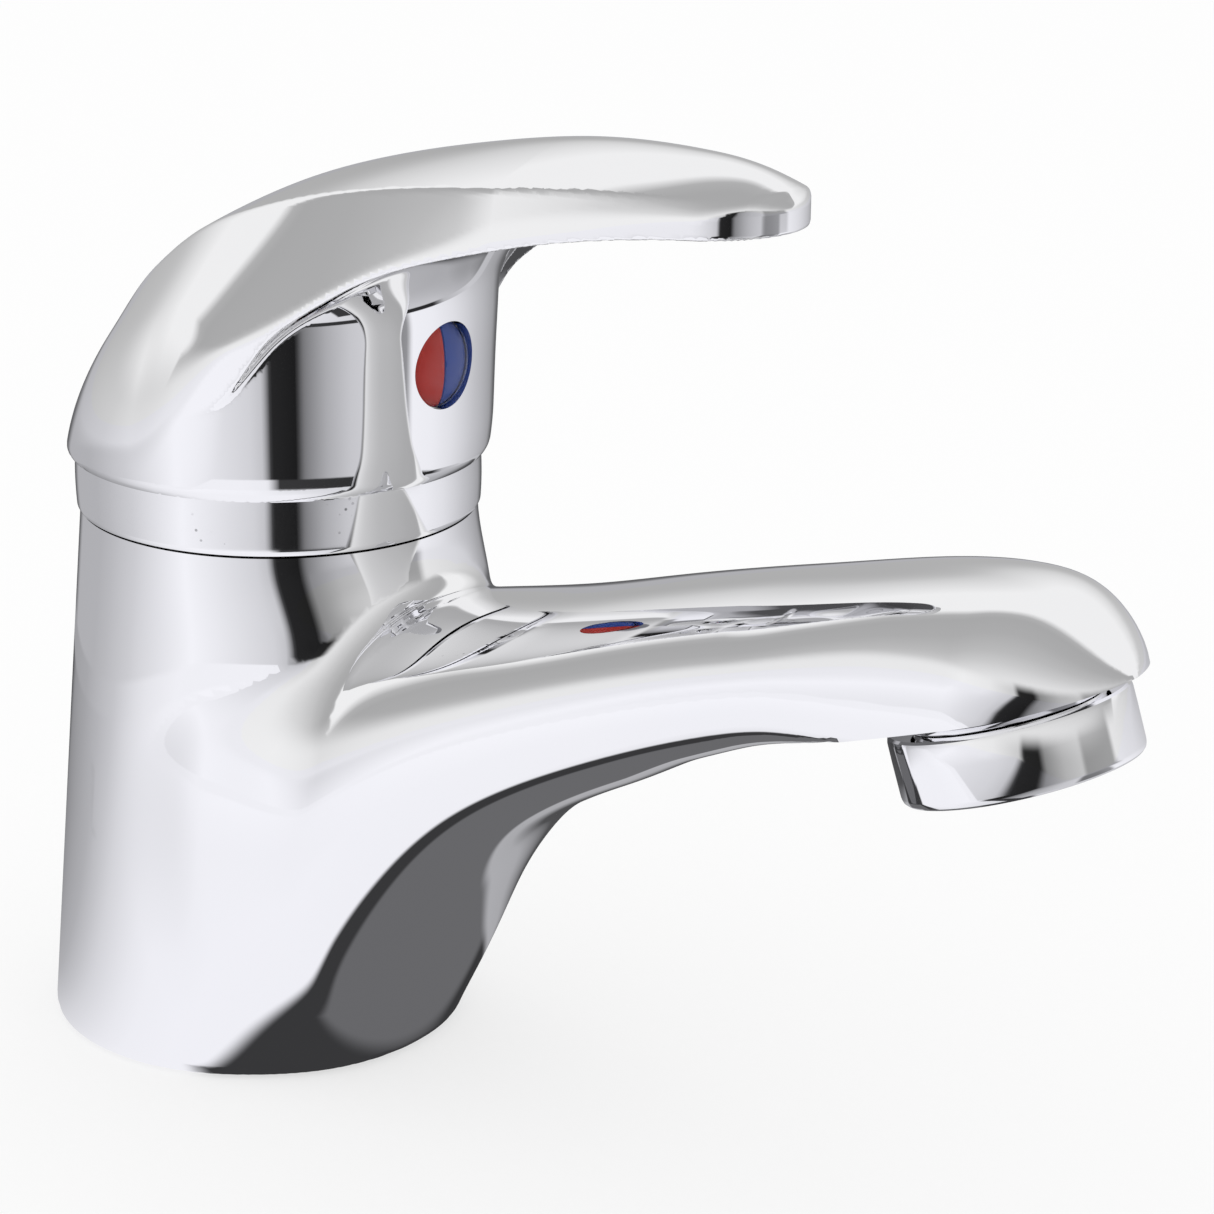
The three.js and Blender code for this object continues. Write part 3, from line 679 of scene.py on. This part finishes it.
def screen():
    """Crossed wires in a thin rim."""
    rim = [(8.35, -7.35), (9.25, -7.35), (9.25, -6.7), (8.35, -6.7)]
    piece = turned("screen_rim", rim, on_aerator, 96)
    points, faces = [], []
    sides = 6
    wire = SCREEN_WIRE_RADIUS
    pitch = SCREEN_WIRE_PITCH
    for turned_over in (False, True):
        for row in range(-8, 9):
            side = row * pitch
            reach = math.sqrt(max(SCREEN_WIRE_REACH ** 2 - side ** 2, 0))
            steps = max(6, int(reach * 2 / 0.24))
            first = len(points)
            for i in range(steps + 1):
                along = -reach + 2 * reach * i / steps
                phase = math.pi * (along / pitch + row + (1 if turned_over else 0))
                height = SCREEN_LEVEL + 0.13 * math.cos(phase)
                for k in range(sides):
                    turn = 2 * math.pi * k / sides
                    a = side + wire * math.cos(turn)
                    b = height + wire * math.sin(turn)
                    spot = (a, along, b) if turned_over else (along, a, b)
                    points.append(on_aerator(*spot))
            for i in range(steps):
                for k in range(sides):
                    a = first + i * sides + k
                    b = first + i * sides + (k + 1) % sides
                    faces.append((a, b, b + sides, a + sides))
    weave = mesh_piece("screen_weave", points, faces, 60)
    return piece, weave


def dome(edge, rise, shrink=0.0):
    """A dome's profile from its rim to its crown."""
    points = []
    for i in range(17):
        turn = i / 16 * math.pi / 2
        points.append((max(0.01, (MARK_RADIUS - shrink) * math.cos(turn)), edge + rise * math.sin(turn)))
    return points


def indicator_half(name, side):
    """Half of a domed plate, parted along the lever's middle plane."""
    profile = [(0.01, 24.22), (MARK_RADIUS - 0.1, 24.22), (MARK_RADIUS, 24.3)] + dome(24.5, 1.38)
    piece = turned(name, profile, on_indicator, 96, 40)
    shape = bmesh.new()
    shape.from_mesh(piece.data)
    every = shape.verts[:] + shape.edges[:] + shape.faces[:]
    bmesh.ops.bisect_plane(shape, geom=every, plane_co=(0, side * 0.11 * MM, 0),
                           plane_no=(0, -side, 0), clear_outer=True)
    open_edges = [edge for edge in shape.edges if edge.is_boundary]
    bmesh.ops.holes_fill(shape, edges=open_edges, sides=0)
    shape.to_mesh(piece.data)
    shape.free()
    return piece


def indicator_lens():
    inner = list(reversed(dome(24.84, 1.4)))
    return turned("lens_surface", dome(25.1, 1.58) + inner, on_indicator, 96, 50)


# ---- Building the object ---------------------------------------------------------------
def settle(piece, body, node_names, slot_name):
    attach(piece, body)
    if node_names:
        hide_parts(*node_names)
    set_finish(piece, slot_name)


settle(casting(), "body", ["body_casting"], "chrome_body")
settle(handle(), "lever", ["lever_handle"], "chrome_handle")
settle(dome_ring(), "body", ["dome_ring"], "chrome_ring")
settle(collar(), "body", ["aerator_collar"], "chrome_collar")
screen_rim, screen_weave = screen()
settle(screen_rim, "body", ["aerator_screen"], "steel")
settle(screen_weave, "body", [], "steel")
settle(indicator_half("red_face", -1), "lever", ["indicator_red"], "red_mark")
settle(indicator_half("blue_face", 1), "lever", ["indicator_blue"], "blue_mark")
settle(indicator_lens(), "lever", ["indicator_lens"], "clear_cap")


# ---- Materials -----------------------------------------------------------------------
def grey(value):
    return (value, value, value, 1)


def new_material(name):
    material = bpy.data.materials.new(name)
    material.use_nodes = True
    tree = material.node_tree
    shader = next(n for n in tree.nodes if n.type == "BSDF_PRINCIPLED")
    return material, tree, shader


def surface_group():
    """Blotches of colour, of roughness and of fine height, shared by every finish."""
    tree = bpy.data.node_groups.new("surface_variation", "ShaderNodeTree")
    face = tree.interface
    for name, kind in (("Light", "NodeSocketColor"), ("Dark", "NodeSocketColor"),
                       ("Scale", "NodeSocketFloat"), ("Smoothest", "NodeSocketFloat"),
                       ("Roughest", "NodeSocketFloat")):
        face.new_socket(name=name, in_out="INPUT", socket_type=kind)
    for name, kind in (("Color", "NodeSocketColor"), ("Roughness", "NodeSocketFloat"),
                       ("Height", "NodeSocketFloat")):
        face.new_socket(name=name, in_out="OUTPUT", socket_type=kind)
    start = tree.nodes.new("NodeGroupInput")
    end = tree.nodes.new("NodeGroupOutput")
    place = tree.nodes.new("ShaderNodeTexCoord")
    broad = tree.nodes.new("ShaderNodeTexNoise")
    fine = tree.nodes.new("ShaderNodeTexNoise")
    broad.inputs["Detail"].default_value = 3
    fine.inputs["Detail"].default_value = 5
    more = tree.nodes.new("ShaderNodeMath")
    more.operation = "MULTIPLY"
    more.inputs[1].default_value = 9
    mix = tree.nodes.new("ShaderNodeMix")
    mix.data_type = "RGBA"
    spread = tree.nodes.new("ShaderNodeMapRange")
    link = tree.links.new
    link(place.outputs["Object"], broad.inputs["Vector"])
    link(place.outputs["Object"], fine.inputs["Vector"])
    link(start.outputs["Scale"], broad.inputs["Scale"])
    link(start.outputs["Scale"], more.inputs[0])
    link(more.outputs[0], fine.inputs["Scale"])
    link(broad.outputs["Fac"], mix.inputs[0])
    link(start.outputs["Light"], mix.inputs[6])
    link(start.outputs["Dark"], mix.inputs[7])
    link(mix.outputs[2], end.inputs["Color"])
    link(fine.outputs["Fac"], spread.inputs["Value"])
    link(start.outputs["Smoothest"], spread.inputs["To Min"])
    link(start.outputs["Roughest"], spread.inputs["To Max"])
    link(spread.outputs["Result"], end.inputs["Roughness"])
    link(fine.outputs["Fac"], end.inputs["Height"])
    return tree


SURFACE = surface_group()


def finish_material(name, light, dark, scale, roughness, metallic=0.0, height=0.0):
    material, tree, shader = new_material(name)
    shader.inputs["Metallic"].default_value = metallic
    use = tree.nodes.new("ShaderNodeGroup")
    use.node_tree = SURFACE
    use.inputs["Light"].default_value = (*light, 1)
    use.inputs["Dark"].default_value = (*dark, 1)
    use.inputs["Scale"].default_value = scale
    use.inputs["Smoothest"].default_value = roughness[0]
    use.inputs["Roughest"].default_value = roughness[1]
    tree.links.new(use.outputs["Color"], shader.inputs["Base Color"])
    tree.links.new(use.outputs["Roughness"], shader.inputs["Roughness"])
    if height:
        bump = tree.nodes.new("ShaderNodeBump")
        bump.inputs["Strength"].default_value = 1
        bump.inputs["Distance"].default_value = height
        tree.links.new(use.outputs["Height"], bump.inputs["Height"])
        tree.links.new(bump.outputs["Normal"], shader.inputs["Normal"])
    return material


def pitted(material):
    """Small dark pits in a polished plate."""
    tree = material.node_tree
    shader = next(n for n in tree.nodes if n.type == "BSDF_PRINCIPLED")
    place = tree.nodes.new("ShaderNodeTexCoord")
    cells = tree.nodes.new("ShaderNodeTexVoronoi")
    cells.inputs["Scale"].default_value = 900
    dots = tree.nodes.new("ShaderNodeMapRange")
    dots.inputs["From Min"].default_value = 0.1
    dots.inputs["From Max"].default_value = 0.2
    dots.inputs["To Min"].default_value = 1
    dots.inputs["To Max"].default_value = 0
    patches = tree.nodes.new("ShaderNodeTexNoise")
    patches.inputs["Scale"].default_value = 140
    patches.inputs["Detail"].default_value = 4
    where = tree.nodes.new("ShaderNodeMapRange")
    where.inputs["From Min"].default_value = 0.6
    where.inputs["From Max"].default_value = 0.68
    both = tree.nodes.new("ShaderNodeMath")
    both.operation = "MULTIPLY"
    mix = tree.nodes.new("ShaderNodeMix")
    mix.data_type = "RGBA"
    mix.inputs[7].default_value = grey(0.12)
    link = tree.links.new
    link(place.outputs["Object"], cells.inputs["Vector"])
    link(place.outputs["Object"], patches.inputs["Vector"])
    link(cells.outputs["Distance"], dots.inputs["Value"])
    link(patches.outputs["Fac"], where.inputs["Value"])
    link(dots.outputs["Result"], both.inputs[0])
    link(where.outputs["Result"], both.inputs[1])
    old = shader.inputs["Base Color"].links[0].from_socket
    link(both.outputs[0], mix.inputs[0])
    link(old, mix.inputs[6])
    link(mix.outputs[2], shader.inputs["Base Color"])
    return material


CHROME_LIGHT = (0.985, 0.985, 0.99)
CHROME_DARK = (0.965, 0.965, 0.985)
FINISHES = {
    "chrome_body": finish_material("polished chrome", CHROME_LIGHT, CHROME_DARK, 25, (0.012, 0.03), 1),
    "chrome_handle": finish_material(
        "polished chrome lever", CHROME_LIGHT, CHROME_DARK, 30, (0.012, 0.03), 1),
    "chrome_ring": pitted(finish_material(
        "pitted chrome", CHROME_LIGHT, CHROME_DARK, 40, (0.03, 0.07), 1)),
    "chrome_collar": finish_material("turned chrome", CHROME_LIGHT, CHROME_DARK, 40, (0.03, 0.06), 1),
    "brass": finish_material("cast brass", (0.72, 0.52, 0.24), (0.58, 0.4, 0.17), 120, (0.3, 0.5), 1, 2e-5),
    "steel": finish_material("stainless steel", (0.62, 0.62, 0.63), (0.5, 0.5, 0.52), 200, (0.22, 0.4), 1),
    "rubber": finish_material(
        "black rubber", (0.03, 0.03, 0.032), (0.018, 0.018, 0.02), 300, (0.6, 0.8), 0, 3e-5),
    "ceramic": finish_material("fired ceramic", (0.86, 0.85, 0.82), (0.8, 0.79, 0.76), 150, (0.15, 0.3)),
    "white_plastic": finish_material(
        "white moulded plastic", (0.82, 0.82, 0.8), (0.76, 0.76, 0.74), 150, (0.35, 0.5)),
    "grey_plastic": finish_material(
        "grey moulded plastic", (0.2, 0.21, 0.22), (0.15, 0.16, 0.17), 150, (0.4, 0.55)),
    "red_mark": finish_material("red enamel", (0.82, 0.055, 0.035), (0.68, 0.035, 0.03), 260, (0.25, 0.4)),
    "blue_mark": finish_material("blue enamel", (0.03, 0.1, 0.5), (0.02, 0.07, 0.4), 260, (0.25, 0.4)),
}


def clear_cap():
    material = finish_material("clear cap", (1, 1, 1), (0.97, 0.97, 0.98), 120, (0.02, 0.05))
    shader = next(n for n in material.node_tree.nodes if n.type == "BSDF_PRINCIPLED")
    shader.inputs["Transmission Weight"].default_value = 1
    shader.inputs["IOR"].default_value = 1.12
    return material


FINISHES["clear_cap"] = clear_cap()


def node_slots():
    return {part["node"]: part["material_slot"] for part in frame["record"]["subparts"]}


def paint():
    named = node_slots()
    for name, node in frame["nodes"].items():
        node.data.materials.clear()
        node.data.materials.append(FINISHES[named[name]])
        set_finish(node, named[name])
    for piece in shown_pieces():
        if "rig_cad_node" in piece:
            continue
        piece.data.materials.clear()
        piece.data.materials.append(FINISHES[piece["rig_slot"]])


paint()


# ---- Floor, light and camera -------------------------------------------------------------
def math_node(tree, operation, first, second=None):
    node = tree.nodes.new("ShaderNodeMath")
    node.operation = operation
    for socket, value in zip(node.inputs, (first, second)):
        if value is None:
            continue
        if isinstance(value, (int, float)):
            socket.default_value = value
        else:
            tree.links.new(value, socket)
    return node.outputs[0]


def dot_node(tree, vector, direction):
    node = tree.nodes.new("ShaderNodeVectorMath")
    node.operation = "DOT_PRODUCT"
    tree.links.new(vector, node.inputs[0])
    node.inputs[1].default_value = direction
    return node.outputs["Value"]


def ramp_node(tree, value, stops):
    """Grey levels by degrees, as a smooth ramp from -180 to 180."""
    node = tree.nodes.new("ShaderNodeValToRGB")
    marks = node.color_ramp.elements
    while len(marks) > 1:
        marks.remove(marks[-1])
    first = True
    for angle, level in stops:
        position = (angle + 180) / 360
        mark = marks[0] if first else marks.new(position)
        mark.position = position
        mark.color = grey(level)
        first = False
    tree.links.new(value, node.inputs[0])
    return node.outputs[0]


TO_CAMERA = Vector((math.sin(CAMERA_TURN), -math.cos(CAMERA_TURN), 0))
TO_RIGHT = Vector((math.cos(CAMERA_TURN), math.sin(CAMERA_TURN), 0))


def bearing(tree, vector):
    """The direction's turn round from the viewer, 0 to 1, with 0.5 straight towards the viewer."""
    right = dot_node(tree, vector, TO_RIGHT)
    towards = dot_node(tree, vector, TO_CAMERA)
    turn = math_node(tree, "ARCTAN2", right, towards)
    return math_node(tree, "ADD", math_node(tree, "MULTIPLY", turn, 1 / (2 * math.pi)), 0.5)


def blended(tree, share, first, second):
    node = tree.nodes.new("ShaderNodeMix")
    node.data_type = "RGBA"
    tree.links.new(share, node.inputs[0])
    for socket, value in ((node.inputs[6], first), (node.inputs[7], second)):
        if isinstance(value, tuple):
            socket.default_value = value
        else:
            tree.links.new(value, socket)
    return node.outputs[2]


# Grey levels by bearing in degrees from the camera's side: round the horizon, then on the floor.
# ARCH_LEVELS runs over the top, from 0 at the camera's side to 180 behind the faucet.
HORIZON_LEVELS = [
    (-180, 0.42), (-150, 0.5), (-110, 0.62), (-80, 0.8), (-55, 0.88), (-30, 0.82), (-8, 0.6),
    (-4, 0.02), (9, 0.015), (14, 0.25), (30, 0.45), (46, 0.55), (50, 0.3), (80, 0.35), (85, 0.8),
    (112, 0.7), (150, 0.5), (180, 0.42),
]
ARCH_LEVELS = [
    (-180, 0.42), (0, 0.85), (20, 0.74), (40, 0.6), (60, 0.5), (90, 0.42), (112, 0.4), (118, 0.44),
    (124, 0.88), (146, 0.88), (158, 0.72), (168, 0.55), (180, 0.42),
]
FAR_LEVELS = [
    (-180, 0.1), (-160, 0.13), (-150, 0.44), (-119, 0.45), (-107, 0.5), (-87, 0.62), (-70, 0.78), (-54, 0.93),
    (-40, 0.84), (-26, 0.74), (-14, 0.66), (-8, 0.56), (-4, 0.02), (9, 0.012), (13, 0.2),
    (24, 0.42), (36, 0.58), (44, 0.63), (47, 0.16), (58, 0.2), (68, 0.3), (71, 0.9), (85, 0.87),
    (100, 0.77), (122, 0.55), (148, 0.35), (158, 0.13), (180, 0.1),
]
EDGE_LEVELS = [
    (-180, 0.3), (-126, 0.4), (-97, 0.57), (-75, 0.81), (-60, 0.9), (-20, 0.9), (-6, 0.86),
    (0, 0.04), (88, 0.02), (96, 0.5), (120, 0.6), (180, 0.3),
]
MIDDLE_LEVELS = [
    (-180, 0.05), (-158, 0.07), (-147, 0.3), (-126, 0.38), (-110, 0.47), (-97, 0.57), (-86, 0.7),
    (-75, 0.81), (-65, 0.89), (-47, 0.94), (-14, 0.92), (-6, 0.88), (2, 0.82), (18, 0.74),
    (35, 0.68), (60, 0.6), (90, 0.55), (125, 0.4), (140, 0.08), (180, 0.05),
]
NEAR_LEVELS = [
    (-180, 0.05), (-160, 0.07), (-148, 0.26), (-126, 0.37), (-111, 0.44), (-98, 0.56), (-87, 0.68),
    (-76, 0.77), (-67, 0.84), (-57, 0.89), (-40, 0.91), (8, 0.9), (20, 0.8), (60, 0.5),
    (110, 0.4), (130, 0.08), (180, 0.05),
]


def soft_step(tree, value, start, end):
    node = tree.nodes.new("ShaderNodeMapRange")
    node.interpolation_type = "SMOOTHSTEP"
    node.inputs["From Min"].default_value = start
    node.inputs["From Max"].default_value = end
    tree.links.new(value, node.inputs["Value"])
    return node.outputs["Result"]


def shaded_under_spout(tree, place, level):
    """The shade below the spout, with a paler patch in its middle."""
    along = dot_node(tree, place, (1, 0, 0))
    across = math_node(tree, "ABSOLUTE", dot_node(tree, place, (0, 1, 0)))
    spread = math_node(tree, "MULTIPLY", along, 0.1)
    over_side = math_node(tree, "SUBTRACT", math_node(tree, "SUBTRACT", across, spread), 0.0235)
    before = math_node(tree, "SUBTRACT", 0.006, along)
    beyond = math_node(tree, "SUBTRACT", along, 0.125)
    outer = math_node(tree, "MAXIMUM", math_node(tree, "MAXIMUM", over_side, before), beyond)
    inner_side = math_node(tree, "SUBTRACT", dot_node(tree, place, (0, -1, 0)), 0.0175)
    inner_start = math_node(tree, "SUBTRACT", 0.0225, along)
    inner_end = math_node(tree, "SUBTRACT", along, 0.1)
    inner = math_node(tree, "MAXIMUM", math_node(tree, "MAXIMUM", inner_side, inner_start), inner_end)
    shade = blended(tree, soft_step(tree, inner, -0.001, 0.002), grey(0.14), grey(0.04))
    return blended(tree, soft_step(tree, outer, -0.001, 0.003), shade, level)


def floor_material():
    """White to the eye, with soft bands of light and dark that only mirrors see."""
    material, tree, shader = new_material("studio floor")
    place = tree.nodes.new("ShaderNodeTexCoord")
    turn = bearing(tree, place.outputs["Object"])
    far = ramp_node(tree, turn, FAR_LEVELS)
    edge = ramp_node(tree, turn, EDGE_LEVELS)
    middle = ramp_node(tree, turn, MIDDLE_LEVELS)
    near = ramp_node(tree, turn, NEAR_LEVELS)
    distance = tree.nodes.new("ShaderNodeVectorMath")
    distance.operation = "LENGTH"
    tree.links.new(place.outputs["Object"], distance.inputs[0])
    nearer = tree.nodes.new("ShaderNodeMapRange")
    nearer.inputs["From Min"].default_value = 0.095
    nearer.inputs["From Max"].default_value = 0.145
    tree.links.new(distance.outputs["Value"], nearer.inputs["Value"])
    onto_edge = tree.nodes.new("ShaderNodeMapRange")
    onto_edge.inputs["From Min"].default_value = 0.152
    onto_edge.inputs["From Max"].default_value = 0.156
    tree.links.new(distance.outputs["Value"], onto_edge.inputs["Value"])
    off_edge = tree.nodes.new("ShaderNodeMapRange")
    off_edge.inputs["From Min"].default_value = 0.172
    off_edge.inputs["From Max"].default_value = 0.176
    tree.links.new(distance.outputs["Value"], off_edge.inputs["Value"])
    level = blended(tree, nearer.outputs["Result"], near, middle)
    level = blended(tree, onto_edge.outputs["Result"], level, edge)
    level = blended(tree, off_edge.outputs["Result"], level, far)
    distant = ramp_node(tree, turn, HORIZON_LEVELS)
    level = blended(tree, soft_step(tree, distance.outputs["Value"], 0.3, 0.8), level, distant)
    level = shaded_under_spout(tree, place.outputs["Object"], level)
    tint = tree.nodes.new("ShaderNodeMix")
    tint.data_type = "RGBA"
    tint.blend_type = "MULTIPLY"
    tint.inputs[0].default_value = 1
    tint.inputs[7].default_value = (0.985, 0.985, 1.03, 1)
    tree.links.new(level, tint.inputs[6])
    glow = tree.nodes.new("ShaderNodeEmission")
    tree.links.new(tint.outputs[2], glow.inputs["Color"])
    path = tree.nodes.new("ShaderNodeLightPath")
    pick = tree.nodes.new("ShaderNodeMixShader")
    white = tree.nodes.new("ShaderNodeEmission")
    white.inputs["Color"].default_value = grey(1)
    white.inputs["Strength"].default_value = 1.06
    soft = tree.nodes.new("ShaderNodeMixShader")
    soft.inputs[0].default_value = 0.6
    shader.inputs["Base Color"].default_value = grey(0.95)
    shader.inputs["Roughness"].default_value = 0.9
    out = next(n for n in tree.nodes if n.type == "OUTPUT_MATERIAL")
    tree.links.new(shader.outputs[0], soft.inputs[1])
    tree.links.new(white.outputs[0], soft.inputs[2])
    tree.links.new(path.outputs["Is Glossy Ray"], pick.inputs[0])
    tree.links.new(soft.outputs[0], pick.inputs[1])
    tree.links.new(glow.outputs[0], pick.inputs[2])
    tree.links.new(pick.outputs[0], out.inputs["Surface"])
    return material


def floor():
    mesh = bpy.data.meshes.new("studio_floor")
    side = FLOOR_HALF_SIDE
    mesh.from_pydata([(-side, -side, 0), (side, -side, 0), (side, side, 0), (-side, side, 0)], [],
                     [(0, 1, 2, 3)])
    piece = bpy.data.objects.new("studio_floor", mesh)
    bpy.context.scene.collection.objects.link(piece)
    piece.location = (AXIS_X * MM, 0, -0.0003)
    piece.data.materials.append(floor_material())
    piece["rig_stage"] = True


def sky():
    """A tent of light: level bands round the horizon, and one softbox high behind the faucet."""
    world = bpy.data.worlds.new("studio")
    world.use_nodes = True
    tree = world.node_tree
    background = next(n for n in tree.nodes if n.type == "BACKGROUND")
    place = tree.nodes.new("ShaderNodeTexCoord")
    direction = place.outputs["Generated"]
    turn = bearing(tree, direction)
    around = ramp_node(tree, turn, HORIZON_LEVELS)
    up = dot_node(tree, direction, (0, 0, 1))
    towards = dot_node(tree, direction, TO_CAMERA)
    over = math_node(tree, "ARCTAN2", up, towards)
    over = math_node(tree, "ADD", math_node(tree, "MULTIPLY", over, 1 / (2 * math.pi)), 0.5)
    arch = ramp_node(tree, over, ARCH_LEVELS)
    level = blended(tree, soft_step(tree, up, 0.05, 0.3), around, arch)
    path = tree.nodes.new("ShaderNodeLightPath")
    final = blended(tree, path.outputs["Is Camera Ray"], level, grey(1))
    final = blended(tree, path.outputs["Is Diffuse Ray"], final, grey(1))
    tree.links.new(final, background.inputs["Color"])
    bpy.context.scene.world = world


def camera():
    level = math.cos(CAMERA_PITCH)
    forward = Vector((math.sin(CAMERA_YAW) * level, math.cos(CAMERA_YAW) * level, -math.sin(CAMERA_PITCH)))
    right = Vector((math.cos(CAMERA_YAW), -math.sin(CAMERA_YAW), 0))
    up = right.cross(forward)
    side = math.cos(CAMERA_ROLL) * right + math.sin(CAMERA_ROLL) * up
    upright = -math.sin(CAMERA_ROLL) * right + math.cos(CAMERA_ROLL) * up
    turn = Matrix.Rotation(CAMERA_TURN, 4, "Z")
    axes = Matrix((side, upright, -forward)).transposed().to_4x4()
    stand = Matrix.Translation((0, -CAMERA_DISTANCE, CAMERA_HEIGHT))
    place = Matrix.Translation((AXIS_X * MM, 0, 0)) @ turn @ stand
    data = bpy.data.cameras.new("camera")
    data.sensor_width = 36
    data.lens = CAMERA_LENS
    data.clip_start = 0.01
    data.clip_end = 20
    eye = bpy.data.objects.new("camera", data)
    bpy.context.scene.collection.objects.link(eye)
    eye.matrix_world = place @ axes
    bpy.context.scene.camera = eye


floor()
sky()
camera()
bpy.context.scene.view_settings.view_transform = "Standard"
